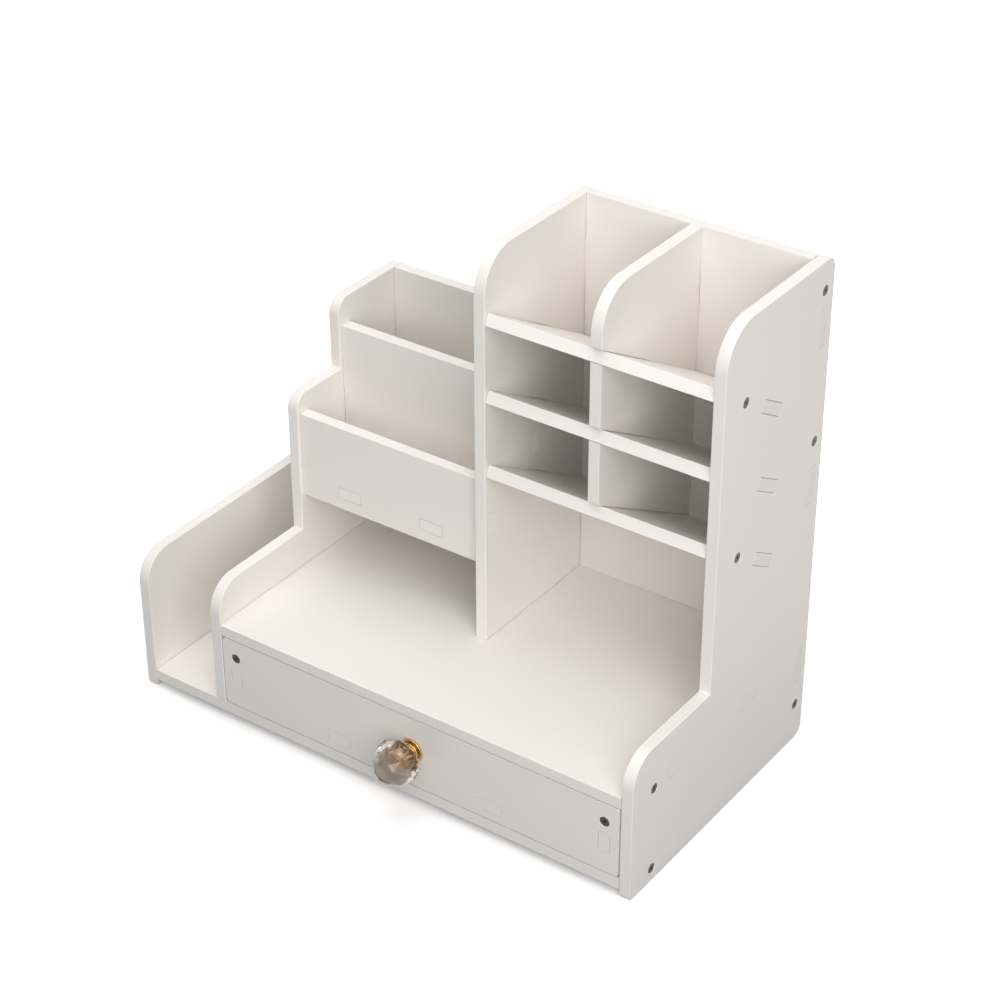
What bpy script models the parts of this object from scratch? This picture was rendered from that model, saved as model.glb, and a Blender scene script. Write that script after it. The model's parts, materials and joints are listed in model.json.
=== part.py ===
"""Desk organizer of slotted white boards: book bay, pen box, inclined marker shelves and one drawer.

Metres, +Z up, the front faces -Y. The origin lies on the floor, under the middle of the whole object.
Depths are measured back from the front edges of the side panels, heights up from the floor.
"""

import math

import bmesh
import bpy
from mathutils import Matrix, Vector

# Boards and fits
board = 0.008
fit = 0.0003
overrun = 0.002
weld_distance = 0.000002
chord = 0.0025

# Clear widths of the spaces, from left to right
book_bay_width = 0.0537
middle_width = 0.1437
marker_bay_width = 0.0754

# Depths: the side panels, the back boards' inset and the tower's front
panel_depth = 0.207
back_inset = 0.006
base_back_inset = 0.001
tower_setback = 0.085

# Heights: clear spaces and rises, from the floor up
base_lift = 0.0055
drawer_space = 0.0537
low_rise = 0.028
bay_back_drop = 0.008
alcove_height = 0.1235
shelf_pitch = 0.0529
shelf_rise = 0.0455

# Corner radii of the side panels
foot_radius = 0.003
back_radius = 0.008
low_radius = 0.021
step_radius = 0.011
tower_radius = 0.028
inner_radius = 0.001

# Pen box between the middle panel and the tower
wall_inset = 0.005
step_lip = 0.003
pen_row_depth = 0.038
niche_height = 0.0541
front_wall_height = 0.0618
pen_floor_lift = 0.0082
middle_wall_height = 0.0902
first_step_rise = 0.0134
second_step_rise = 0.0190

# Marker shelves
shelf_tilt = math.radians(30)
shelf_names = ("marker_shelf_bottom", "marker_shelf_middle", "marker_shelf_top")

# Tenons: widths, and places as shares of the edge that carries them
tenon_width = 0.024
tall_tenon_width = 0.026
wall_tenon_width = 0.016
floor_tenon_width = 0.018
deck_tenon_shares = (0.256, 0.643)
tower_foot_shares = (0.21, 0.62)
tower_back_shares = (0.559, 0.874)
middle_back_shares = (0.47, 0.77)
bay_back_share = 0.61
foot_shares = (0.25, 0.75)
pen_floor_shares = (0.27, 0.73)
shelf_tenon_share = 0.515

# Drawer
drawer_gap = 0.001
drawer_corner_radius = 0.0025
drawer_side_inset = 0.0075
drawer_headroom = 0.0087
drawer_floor_lift = 0.007
drawer_tenon_width = 0.013
drawer_tenon_share = 0.511
drawer_floor_shares = (0.30, 0.70)
drawer_side_shares = (0.28, 0.72)

# Countersunk wood screws
screw_length = 0.020
screw_radius = 0.0015
screw_tip = 0.003
screw_head_radius = 0.0034
screw_head_depth = 0.0020
screw_recess = 0.0002
screw_sides = 12
cross_width = 0.0009
cross_length = 0.0038
cross_depth = 0.0012
front_screw_depth = 0.024
shelf_screw_share = 0.214
tower_back_screw_shares = (0.649, 0.943)
middle_back_screw_share = 0.89
bay_back_screw_share = 0.295
drawer_screw_share = 0.867

# Knob: a turned brass base and a cut crystal, held by a screw from inside the drawer
knob_share = 0.54
knob_sides = 20
knob_flange_radius = 0.0086
knob_flange = 0.0016
knob_neck_radius = 0.0052
knob_neck = 0.0040
knob_cup_radius = 0.0072
knob_cup = 0.0010
knob_base_length = 0.0065
crystal_facets = 8
crystal_back_radius = 0.0085
crystal_girdle_radius = 0.0157
crystal_pavilion = 0.0054
crystal_girdle = 0.0040
crystal_crown_radius = 0.0132
crystal_crown = 0.0070
crystal_table_radius = 0.0080
crystal_length = 0.0219
knob_screw_radius = 0.0020
knob_screw_length = 0.0125
knob_screw_head_radius = 0.0036
knob_screw_head = 0.0024

# Places across, from left to right: the left face of each panel and of each space
overall_width = 5 * board + book_bay_width + middle_width + 2 * marker_bay_width
x_left = -overall_width / 2
x_bay = x_left + board
x_middle = x_bay + book_bay_width
x_pen = x_middle + board
x_tower = x_pen + middle_width
x_cell = x_tower + board
x_divider = x_cell + marker_bay_width
x_right = x_divider + board + marker_bay_width
x_end = x_right + board

# Places in depth
knob_reach = knob_base_length + 2 * fit + crystal_length
y_front = (knob_reach - panel_depth) / 2
back_board_depth = panel_depth - back_inset - board
front_wall_setback = tower_setback + wall_inset
middle_wall_setback = front_wall_setback + board + pen_row_depth
drawer_depth = back_board_depth - fit
shelf_length = (drawer_depth - tower_setback - board * math.sin(shelf_tilt)) / math.cos(shelf_tilt)

# Places in height
z_floor = base_lift + board
z_platform = z_floor + drawer_space
z_deck = z_platform + board
low_height = z_deck + low_rise
bay_back_height = low_height - bay_back_drop
z_shelf = z_deck + alcove_height
tower_height = z_shelf + (len(shelf_names) - 1) * shelf_pitch + shelf_rise
front_wall_bottom = z_deck + niche_height
front_wall_top = front_wall_bottom + front_wall_height
z_pen_floor = front_wall_bottom + pen_floor_lift
middle_wall_bottom = z_pen_floor + board + fit
middle_wall_top = middle_wall_bottom + middle_wall_height
first_step_height = front_wall_top + first_step_rise
second_step_height = middle_wall_top + second_step_rise

# Places of the drawer and its knob
drawer_left = x_pen + drawer_side_inset
drawer_right = x_right - drawer_side_inset
drawer_middle = (x_pen + x_right) / 2
drawer_bottom = z_floor + fit
drawer_side_top = z_platform - drawer_headroom
drawer_floor_height = z_floor + drawer_floor_lift
drawer_tenon_height = drawer_bottom + (drawer_side_top - drawer_bottom) * drawer_tenon_share
drawer_screw_height = drawer_bottom + (drawer_side_top - drawer_bottom) * drawer_screw_share
knob_height = z_floor + drawer_space * knob_share

# Finishes: colour, roughness, metallic
finishes = {
    "white_board": ((0.80, 0.79, 0.77), 0.45, 0.0),
    "dark_screw": ((0.045, 0.035, 0.030), 0.40, 0.9),
    "brass": ((0.80, 0.58, 0.27), 0.22, 1.0),
    "crystal": ((0.90, 0.92, 0.93), 0.03, 0.0),
}

# Turns that stand a flat outline up: facing the side, facing the front, or lying flat
SIDE = (math.pi / 2, 0, math.pi / 2)
FRONT = (math.pi / 2, 0, 0)
FLAT = (0, 0, 0)

cutters = {}


def clear_scene():
    """Remove every object, so that the script can run again."""
    for item in list(bpy.data.objects):
        bpy.data.objects.remove(item, do_unlink=True)


def add_finish(item, kind):
    """Give an object a material of its own, in one of the finishes."""
    colour, roughness, metallic = finishes[kind]
    material = bpy.data.materials.new(item.name + "_" + kind)
    material.use_nodes = True
    shader = material.node_tree.nodes["Principled BSDF"]
    shader.inputs["Base Color"].default_value = (*colour, 1)
    shader.inputs["Roughness"].default_value = roughness
    shader.inputs["Metallic"].default_value = metallic
    if kind == "crystal":
        shader.inputs["Transmission Weight"].default_value = 1
    item.data.materials.clear()
    item.data.materials.append(material)


def add_object(name, mesh, kind, location=(0, 0, 0), turn=FLAT):
    """Link a mesh as a named object at its place."""
    item = bpy.data.objects.new(name, mesh)
    bpy.context.scene.collection.objects.link(item)
    item.location = location
    item.rotation_euler = turn
    add_finish(item, kind)
    return item


def mesh_from(bm, name):
    """Turn a finished bmesh into a mesh with its faces pointing out."""
    bmesh.ops.recalc_face_normals(bm, faces=bm.faces)
    mesh = bpy.data.meshes.new(name)
    bm.to_mesh(mesh)
    bm.free()
    return mesh


def between(low, high, shares):
    """Places between two values, given as shares of the way from one to the other."""
    return tuple(low + (high - low) * share for share in shares)


def rounded(corners):
    """Outline through (u, v, radius) corners, each corner with a radius drawn as an arc."""
    points = []
    for index, (u, v, radius) in enumerate(corners):
        here = Vector((u, v))
        if radius == 0:
            points.append(here)
            continue
        before = (Vector(corners[index - 1][:2]) - here).normalized()
        after = (Vector(corners[(index + 1) % len(corners)][:2]) - here).normalized()
        half = before.angle(after) / 2
        centre = here + (before + after).normalized() * radius / math.sin(half)
        start = here + before * radius / math.tan(half) - centre
        end = here + after * radius / math.tan(half) - centre
        first = math.atan2(start.y, start.x)
        sweep = (math.atan2(end.y, end.x) - first + math.pi) % (2 * math.pi) - math.pi
        steps = max(3, math.ceil(radius * abs(sweep) / chord))
        for step in range(steps + 1):
            angle = first + sweep * step / steps
            points.append(centre + Vector((math.cos(angle), math.sin(angle))) * radius)
    return points


def tabs(start, end, centres, width, reach=board + fit):
    """Corners of the tabs on an edge, in the order of travel; a negative reach makes notches."""
    start = Vector(start)
    along = (Vector(end) - start).normalized()
    out = Vector((along.y, -along.x)) * reach
    axis = 0 if abs(along.x) > abs(along.y) else 1
    corners = []
    for centre in sorted(centres, key=lambda value: value * along[axis]):
        middle = start + along * ((centre - start[axis]) / along[axis])
        for side, lift in ((-1, 0), (-1, 1), (1, 1), (1, 0)):
            corner = middle + along * (side * width / 2) + out * lift
            corners.append((corner.x, corner.y, 0))
    return corners


def edged(corners, edges):
    """Outline of straight corners; edges maps a corner's index to the tabs' centres and width after it."""
    outline = []
    for index, corner in enumerate(corners):
        outline.append((*corner, 0))
        if index in edges:
            centres, width = edges[index]
            outline += tabs(corner, corners[(index + 1) % len(corners)], centres, width)
    return outline


def add_board(name, corners, location, turn):
    """A flat board: its outline extruded by the board's thickness."""
    bm = bmesh.new()
    face = bm.faces.new([bm.verts.new((point.x, point.y, 0)) for point in rounded(corners)])
    grown = bmesh.ops.extrude_face_region(bm, geom=[face])
    moved = [item for item in grown["geom"] if isinstance(item, bmesh.types.BMVert)]
    bmesh.ops.translate(bm, verts=moved, vec=(0, 0, board))
    return add_object(name, mesh_from(bm, name), "white_board", location, turn)


def cutter_of(name):
    """The bmesh that collects all cuts of one board."""
    if name not in cutters:
        cutters[name] = bmesh.new()
    return cutters[name]


def cut_box(name, centre, size, tilt=0):
    """Cut a box out of a board, turned about the X axis by the tilt."""
    turn = Matrix.Rotation(tilt, 4, "X")
    place = Matrix.Translation(centre) @ turn @ Matrix.Diagonal((*size, 1))
    bmesh.ops.create_cube(cutter_of(name), size=1, matrix=place)


def cut_side_slot(name, x_face, depth, height, width, tall, tilt=0):
    """A mortise through a side panel whose left face is at x_face, for a tab of the given section."""
    centre = (x_face + board / 2, y_front + depth, height)
    size = (board + 2 * overrun, width + 2 * fit, tall + 2 * fit)
    cut_box(name, centre, size, tilt)


def cut_front_slot(name, x, depth_face, height, width, tall):
    """A mortise through a board that faces the front, whose front face is at depth_face."""
    centre = (x, y_front + depth_face + board / 2, height)
    size = (width + 2 * fit, board + 2 * overrun, tall + 2 * fit)
    cut_box(name, centre, size)


def cut_flat_slot(name, x, depth, z_face, width, deep):
    """A mortise through a lying board whose lower face is at z_face."""
    centre = (x, y_front + depth, z_face + board / 2)
    size = (width + 2 * fit, deep + 2 * fit, board + 2 * overrun)
    cut_box(name, centre, size)


def turned(profile, sides):
    """A closed shape turned about Z from (radius, height) points that start and end on the axis."""
    bm = bmesh.new()
    line = [bm.verts.new((radius, 0, height)) for radius, height in profile]
    edges = [bm.edges.new(pair) for pair in zip(line, line[1:])]
    axis = {"cent": (0, 0, 0), "axis": (0, 0, 1), "angle": 2 * math.pi}
    bmesh.ops.spin(bm, geom=line + edges, steps=sides, use_merge=True, **axis)
    bmesh.ops.remove_doubles(bm, verts=bm.verts, dist=weld_distance)
    return bm


def shade_round(mesh):
    """Smooth shading, with the edges between faces that meet steeply kept sharp."""
    mesh.shade_smooth()
    mesh.set_sharp_from_angle(angle=math.radians(35))


def cut_turned(name, profile, sides, place):
    """Cut a turned shape out of a board."""
    bm = turned(profile, sides)
    bm.transform(place)
    mesh = mesh_from(bm, "turned_cut")
    cutter_of(name).from_mesh(mesh)
    bpy.data.meshes.remove(mesh)


def apply_cuts():
    """Give every board with cuts one Boolean, which takes all of them out."""
    for name, bm in cutters.items():
        mesh = mesh_from(bm, name + "_cutter")
        cutter = bpy.data.objects.new(name + "_cutter", mesh)
        bpy.context.scene.collection.objects.link(cutter)
        cutter.hide_render = True
        cutter.display_type = "WIRE"
        modifier = bpy.data.objects[name].modifiers.new("cuts", "BOOLEAN")
        modifier.operation = "DIFFERENCE"
        modifier.solver = "EXACT"
        modifier.object = cutter
    cutters.clear()


def shelf_point(level, along, above):
    """Depth and height of a point on a shelf, by its distance down the slope and above its underside."""
    depth = tower_setback + along * math.cos(shelf_tilt) + above * math.sin(shelf_tilt)
    height = z_shelf + level * shelf_pitch - along * math.sin(shelf_tilt) + above * math.cos(shelf_tilt)
    return depth, height


# Side panels


def right_side_panel():
    """The tall right side: a low front part and the tower behind it, in one outline."""
    corners = [
        (0, 0, foot_radius),
        (panel_depth, 0, back_radius),
        (panel_depth, tower_height, back_radius),
        (tower_setback, tower_height, tower_radius),
        (tower_setback, low_height, inner_radius),
        (0, low_height, low_radius),
    ]
    add_board("right_side_panel", corners, (x_right, y_front, 0), SIDE)


def left_end_panel():
    """The low left side of the book bay."""
    corners = [
        (0, 0, foot_radius),
        (panel_depth, 0, back_radius),
        (panel_depth, low_height, back_radius),
        (0, low_height, low_radius),
    ]
    add_board("left_end_panel", corners, (x_left, y_front, 0), SIDE)


def middle_panel():
    """The panel between the book bay and the pen box, stepped up twice towards the back."""
    bottom = z_floor + fit
    depths = between(0, panel_depth, deck_tenon_shares)
    first_setback = front_wall_setback - step_lip
    second_setback = middle_wall_setback - step_lip
    corners = [(0, bottom, 0)]
    corners += tabs((0, bottom), (panel_depth, bottom), depths, tenon_width)
    corners += [
        (panel_depth, bottom, 0),
        (panel_depth, second_step_height, back_radius),
        (second_setback, second_step_height, step_radius),
        (second_setback, first_step_height, inner_radius),
        (first_setback, first_step_height, step_radius),
        (first_setback, low_height, inner_radius),
        (0, low_height, low_radius),
    ]
    add_board("middle_panel", corners, (x_middle, y_front, 0), SIDE)
    for depth in depths:
        cut_flat_slot("base_board", x_middle + board / 2, depth, base_lift, board, tenon_width)


def tower_left_panel():
    """The left side of the tower, standing on the platform."""
    bottom = z_deck + fit
    depths = between(tower_setback, panel_depth, tower_foot_shares)
    corners = [(tower_setback, bottom, 0)]
    corners += tabs((tower_setback, bottom), (panel_depth, bottom), depths, tenon_width)
    corners += [
        (panel_depth, bottom, 0),
        (panel_depth, tower_height, back_radius),
        (tower_setback, tower_height, tower_radius),
    ]
    add_board("tower_left_panel", corners, (x_tower, y_front, 0), SIDE)
    for depth in depths:
        cut_flat_slot("platform_board", x_tower + board / 2, depth, z_platform, board, tenon_width)


def tower_divider():
    """The upright between the marker bays: it stands on the bottom shelf and laps the upper two."""
    back = drawer_depth
    slope = math.tan(shelf_tilt)
    foot_depth, foot_height = shelf_point(0, 0, board + fit)
    front_corner = (tower_setback, foot_height + (foot_depth - tower_setback) * slope)
    back_corner = (back, foot_height - (back - foot_depth) * slope)
    tab = tower_height * tower_back_shares[-1]
    corners = [(*front_corner, 0), (*back_corner, 0)]
    corners += tabs(back_corner, (back, tower_height), (tab,), tall_tenon_width)
    corners += [(back, tower_height, 0), (tower_setback, tower_height, tower_radius)]
    add_board("tower_divider", corners, (x_divider, y_front, 0), SIDE)
    middle = x_divider + board / 2
    cut_front_slot("tower_back_panel", middle, back_board_depth, tab, board, tall_tenon_width)
    slot_start = -board - overrun
    slot_end = shelf_length / 2
    for level in range(1, len(shelf_names)):
        depth, height = shelf_point(level, (slot_start + slot_end) / 2, board / 2)
        length = slot_end - slot_start - 2 * fit
        cut_side_slot("tower_divider", x_divider, depth, height, length, board, -shelf_tilt)


# Lying boards


def base_board():
    """The bottom board: it carries the middle panel, the back boards and the drawer."""
    left = x_bay + fit
    right = x_right - fit
    back = panel_depth - base_back_inset
    corners = [(left, 0, 0), (right, 0, 0), (right, back, 0), (left, back, 0)]
    add_board("base_board", corners, (0, y_front, base_lift), FLAT)


def platform_board():
    """The top of the drawer housing."""
    left = x_pen + fit
    right = x_right - fit
    back = drawer_depth
    depths = between(0, panel_depth, deck_tenon_shares)
    rear_centres = {
        "middle_back_panel": (x_pen + x_tower) / 2,
        "tower_back_panel": x_divider + board / 2,
    }
    corners = [(left, 0), (right, 0), (right, back), (left, back)]
    edges = {
        1: (depths, tenon_width),
        2: (rear_centres.values(), tenon_width),
        3: (depths, tenon_width),
    }
    add_board("platform_board", edged(corners, edges), (0, y_front, z_platform), FLAT)
    middle = z_platform + board / 2
    for depth in depths:
        for name, x_face in (("middle_panel", x_middle), ("right_side_panel", x_right)):
            cut_side_slot(name, x_face, depth, middle, tenon_width, board)
    for name, centre in rear_centres.items():
        cut_front_slot(name, centre, back_board_depth, middle, tenon_width, board)


def marker_shelves():
    """Three inclined shelves, high at the front; the upper two are slotted for the divider."""
    left = x_cell + fit
    right = x_right - fit
    along = shelf_length * shelf_tenon_share
    for level, name in enumerate(shelf_names):
        corners = [(left, 0, 0), (right, 0, 0)]
        corners += tabs((right, 0), (right, shelf_length), (along,), tenon_width)
        corners += [(right, shelf_length, 0)]
        if level > 0:
            edge = ((right, shelf_length), (left, shelf_length))
            lap = shelf_length / 2 + fit
            corners += tabs(*edge, (x_divider + board / 2,), board + 2 * fit, -lap)
        corners += [(left, shelf_length, 0)]
        corners += tabs((left, shelf_length), (left, 0), (along,), tenon_width)
        depth, height = shelf_point(level, 0, 0)
        add_board(name, corners, (0, y_front + depth, height), (-shelf_tilt, 0, 0))
        depth, height = shelf_point(level, along, board / 2)
        for panel, x_face in (("tower_left_panel", x_tower), ("right_side_panel", x_right)):
            cut_side_slot(panel, x_face, depth, height, tenon_width, board, -shelf_tilt)


# Back boards


def foot_tenons(left, right, shares):
    """Centres of a back board's foot tenons, with their mortises in the base board."""
    centres = between(left, right, shares)
    depth = back_board_depth + board / 2
    for centre in centres:
        cut_flat_slot("base_board", centre, depth, base_lift, floor_tenon_width, board)
    return centres, floor_tenon_width


def back_slots(name, x_face, heights):
    """Mortises in a side panel for the tenons of a back board."""
    for height in heights:
        cut_side_slot(name, x_face, back_board_depth + board / 2, height, board, tall_tenon_width)


def add_back_board(name, corners, edges):
    """A back board from its outline, seen from the front."""
    location = (0, y_front + back_board_depth + board, 0)
    add_board(name, edged(corners, edges), location, FRONT)


def tower_back_panel():
    """One tall board behind the tower and the right part of the drawer housing."""
    left = x_cell + fit
    right = x_right - fit
    bottom = z_floor + fit
    low = bay_back_height * bay_back_share
    heights = between(0, tower_height, tower_back_shares)
    edges = {
        0: foot_tenons(left, right, foot_shares),
        1: ((low, *heights), tall_tenon_width),
        3: (heights, tall_tenon_width),
    }
    corners = [(left, bottom), (right, bottom), (right, tower_height), (left, tower_height)]
    add_back_board("tower_back_panel", corners, edges)
    back_slots("right_side_panel", x_right, (low, *heights))
    back_slots("tower_left_panel", x_tower, heights)


def middle_back_panel():
    """The board behind the pen box; its foot runs on under the tower's left side."""
    left = x_pen + fit
    right = x_tower - fit
    bottom = z_floor + fit
    heights = between(0, second_step_height, middle_back_shares)
    edges = {
        0: foot_tenons(left, right, foot_shares),
        3: (heights[:1], tall_tenon_width),
        5: (heights, tall_tenon_width),
    }
    corners = [
        (left, bottom),
        (x_cell, bottom),
        (x_cell, z_deck),
        (right, z_deck),
        (right, second_step_height),
        (left, second_step_height),
    ]
    add_back_board("middle_back_panel", corners, edges)
    back_slots("middle_panel", x_middle, heights)
    back_slots("tower_left_panel", x_tower, heights[:1])


def book_bay_back_panel():
    """The low board behind the books."""
    left = x_bay + fit
    right = x_middle - fit
    bottom = z_floor + fit
    heights = (bay_back_height * bay_back_share,)
    edges = {
        0: foot_tenons(left, right, (0.5,)),
        1: (heights, tall_tenon_width),
        3: (heights, tall_tenon_width),
    }
    corners = [(left, bottom), (right, bottom), (right, bay_back_height), (left, bay_back_height)]
    add_back_board("book_bay_back_panel", corners, edges)
    back_slots("left_end_panel", x_left, heights)
    back_slots("middle_panel", x_middle, heights)


# Pen box


def pen_wall(name, setback, bottom, top, height):
    """A wall across the pen box, with one tenon at each end, at the given height."""
    left = x_pen + fit
    right = x_tower - fit
    corners = [(left, bottom), (right, bottom), (right, top), (left, top)]
    edges = {1: ((height,), wall_tenon_width), 3: ((height,), wall_tenon_width)}
    add_board(name, edged(corners, edges), (0, y_front + setback + board, 0), FRONT)
    for panel, x_face in (("middle_panel", x_middle), ("tower_left_panel", x_tower)):
        cut_side_slot(panel, x_face, setback + board / 2, height, board, wall_tenon_width)


def pen_box():
    """Front wall, middle wall and the floor between the front wall and the back board.

    The middle wall's tenons stand halfway between those of the bottom and the middle marker shelf.
    """
    front = (front_wall_bottom, front_wall_top, (front_wall_bottom + front_wall_top) / 2)
    pen_wall("pen_box_front_wall", front_wall_setback, *front)
    shelf_tenon = shelf_point(0, shelf_length * shelf_tenon_share, board / 2)[1]
    middle = (middle_wall_bottom, middle_wall_top, shelf_tenon + shelf_pitch / 2)
    pen_wall("pen_box_middle_wall", middle_wall_setback, *middle)
    left = x_pen + fit
    right = x_tower - fit
    front = front_wall_setback + board + fit
    back = drawer_depth
    centres = between(x_pen, x_tower, pen_floor_shares)
    corners = [(left, front), (right, front), (right, back), (left, back)]
    edges = {0: (centres, floor_tenon_width), 2: (centres, floor_tenon_width)}
    add_board("pen_box_floor", edged(corners, edges), (0, y_front, z_pen_floor), FLAT)
    walls = (("pen_box_front_wall", front_wall_setback), ("middle_back_panel", back_board_depth))
    for centre in centres:
        for name, face in walls:
            cut_front_slot(name, centre, face, z_pen_floor + board / 2, floor_tenon_width, board)


# Drawer


def drawer_ends():
    """The front, which covers the housing's opening, and the lower back."""
    left = x_pen + drawer_gap
    right = x_right - drawer_gap
    low = z_floor + drawer_gap
    high = z_platform - drawer_gap
    outline = [(left, low), (right, low), (right, high), (left, high)]
    corners = [(*corner, drawer_corner_radius) for corner in outline]
    front = add_board("drawer_front", corners, (0, y_front + board, 0), FRONT)
    low = drawer_bottom
    high = drawer_side_top
    outline = [(left, low), (right, low), (right, high), (left, high)]
    back = add_board("drawer_back", edged(outline, {}), (0, y_front + drawer_depth, 0), FRONT)
    return [front, back]


def drawer_sides():
    """The two sides, which slide on the base board, tenoned through the front and the back."""
    start = board + fit
    end = drawer_depth - board - fit
    low = drawer_bottom
    high = drawer_side_top
    corners = [(start, low), (end, low), (end, high), (start, high)]
    tenon = ((drawer_tenon_height,), drawer_tenon_width)
    pieces = []
    sides = (("drawer_left_side", drawer_left), ("drawer_right_side", drawer_right - board))
    for name, x_face in sides:
        outline = edged(corners, {1: tenon, 3: tenon})
        pieces.append(add_board(name, outline, (x_face, y_front, 0), SIDE))
        for piece, face in (("drawer_front", 0), ("drawer_back", drawer_depth - board)):
            middle = x_face + board / 2
            cut_front_slot(piece, middle, face, drawer_tenon_height, board, drawer_tenon_width)
    return pieces


def drawer_floor():
    """The floor of the drawer, tenoned through all four walls."""
    left = drawer_left + board + fit
    right = drawer_right - board - fit
    start = board + fit
    end = drawer_depth - board - fit
    centres = between(drawer_left, drawer_right, drawer_floor_shares)
    depths = between(0, drawer_depth, drawer_side_shares)
    height = drawer_floor_height + board / 2
    corners = [(left, start), (right, start), (right, end), (left, end)]
    edges = {
        0: (centres, floor_tenon_width),
        1: (depths, tenon_width),
        2: (centres, floor_tenon_width),
        3: (depths, tenon_width),
    }
    for centre in centres:
        for name, face in (("drawer_front", 0), ("drawer_back", drawer_depth - board)):
            cut_front_slot(name, centre, face, height, floor_tenon_width, board)
    sides = (("drawer_left_side", drawer_left), ("drawer_right_side", drawer_right - board))
    for depth in depths:
        for name, x_face in sides:
            cut_side_slot(name, x_face, depth, height, tenon_width, board)
    return add_board("drawer_floor", edged(corners, edges), (0, y_front, drawer_floor_height), FLAT)


# Knob


def outward(distance):
    """Place of a turned shape on the drawer's face, so that its height runs outwards."""
    place = Matrix.Translation((drawer_middle, y_front - distance, knob_height))
    return place @ Matrix.Rotation(math.pi / 2, 4, "X")


def knob_base():
    """The brass base: a flange, a waisted neck and a cup, bored for the screw."""
    profile = [
        (0, 0),
        (knob_flange_radius, 0),
        (knob_flange_radius, knob_flange),
        (knob_neck_radius, knob_neck - knob_flange),
        (knob_neck_radius, knob_neck),
        (knob_cup_radius, knob_base_length - knob_cup),
        (knob_cup_radius, knob_base_length),
        (0, knob_base_length),
    ]
    mesh = mesh_from(turned(profile, knob_sides), "knob_base")
    shade_round(mesh)
    item = add_object("knob_base", mesh, "brass")
    item.matrix_world = outward(fit)
    return item


def knob_crystal():
    """The cut crystal: a back seat, a pavilion, a girdle, a crown and a table, as flat facets."""
    half = math.pi / crystal_facets
    girdle = crystal_pavilion + crystal_girdle
    rings = (
        (crystal_back_radius, 0, half),
        (crystal_girdle_radius, crystal_pavilion, 0),
        (crystal_girdle_radius, girdle, half),
        (crystal_crown_radius, girdle + crystal_crown, 0),
        (crystal_table_radius, crystal_length, half),
    )
    bm = bmesh.new()
    for radius, height, turn in rings:
        for index in range(crystal_facets):
            angle = turn + 2 * math.pi * index / crystal_facets
            bm.verts.new((radius * math.cos(angle), radius * math.sin(angle), height))
    bmesh.ops.convex_hull(bm, input=bm.verts)
    item = add_object("knob_crystal", mesh_from(bm, "knob_crystal"), "crystal")
    item.matrix_world = outward(knob_base_length + 2 * fit)
    return item


def knob_screw():
    """The screw from inside the drawer, through the front and into the knob's base."""
    head = knob_screw_head
    profile = [
        (0, 0),
        (knob_screw_head_radius, 0),
        (knob_screw_head_radius, head),
        (knob_screw_radius, head),
        (knob_screw_radius, head + knob_screw_length),
        (0, head + knob_screw_length),
    ]
    mesh = mesh_from(turned(profile, screw_sides), "knob_screw")
    shade_round(mesh)
    item = add_object("knob_screw", mesh, "dark_screw")
    item.matrix_world = outward(-board - fit - head)
    bore = [
        (0, -overrun),
        (knob_screw_radius + fit, -overrun),
        (knob_screw_radius + fit, knob_screw_length + 2 * fit),
        (0, knob_screw_length + 2 * fit),
    ]
    for name in ("drawer_front", "knob_base"):
        cut_turned(name, bore, screw_sides, outward(-board - fit))
    return item


# Screws


def screw_mesh():
    """A countersunk screw along +Z, its head's face at zero, with a cross recess."""
    profile = [
        (0, 0),
        (screw_head_radius, 0),
        (screw_radius, screw_head_depth),
        (screw_radius, screw_length - screw_tip),
        (0, screw_length),
    ]
    mesh = mesh_from(turned(profile, screw_sides), "screw_blank")
    blank = add_object("screw_blank", mesh, "dark_screw")
    bm = bmesh.new()
    for size in ((cross_length, cross_width), (cross_width, cross_length)):
        bmesh.ops.create_cube(bm, size=1, matrix=Matrix.Diagonal((*size, 2 * cross_depth, 1)))
    cross = add_object("screw_cross", mesh_from(bm, "screw_cross"), "dark_screw")
    modifier = blank.modifiers.new("cross", "BOOLEAN")
    modifier.operation = "DIFFERENCE"
    modifier.solver = "EXACT"
    modifier.use_self = True
    modifier.object = cross
    graph = bpy.context.evaluated_depsgraph_get()
    mesh = bpy.data.meshes.new_from_object(blank.evaluated_get(graph))
    for item in (blank, cross):
        bpy.data.objects.remove(item, do_unlink=True)
    shade_round(mesh)
    return mesh


def add_screw(name, mesh, head, direction, boards):
    """Place a screw with its head sunk in a face, and cut its hole in the boards that it joins."""
    direction = Vector(direction)
    turn = direction.to_track_quat("Z", "Y").to_matrix().to_4x4()
    item = add_object(name, mesh.copy(), "dark_screw")
    item.matrix_world = Matrix.Translation(Vector(head) + direction * screw_recess) @ turn
    hole = [
        (0, -overrun),
        (screw_head_radius + fit, -overrun),
        (screw_head_radius + fit, screw_recess),
        (screw_radius + fit, screw_recess + screw_head_depth),
        (screw_radius + fit, screw_recess + screw_length + fit),
        (0, screw_recess + screw_length + fit),
    ]
    for board_name in boards:
        cut_turned(board_name, hole, screw_sides, Matrix.Translation(head) @ turn)
    return item


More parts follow.
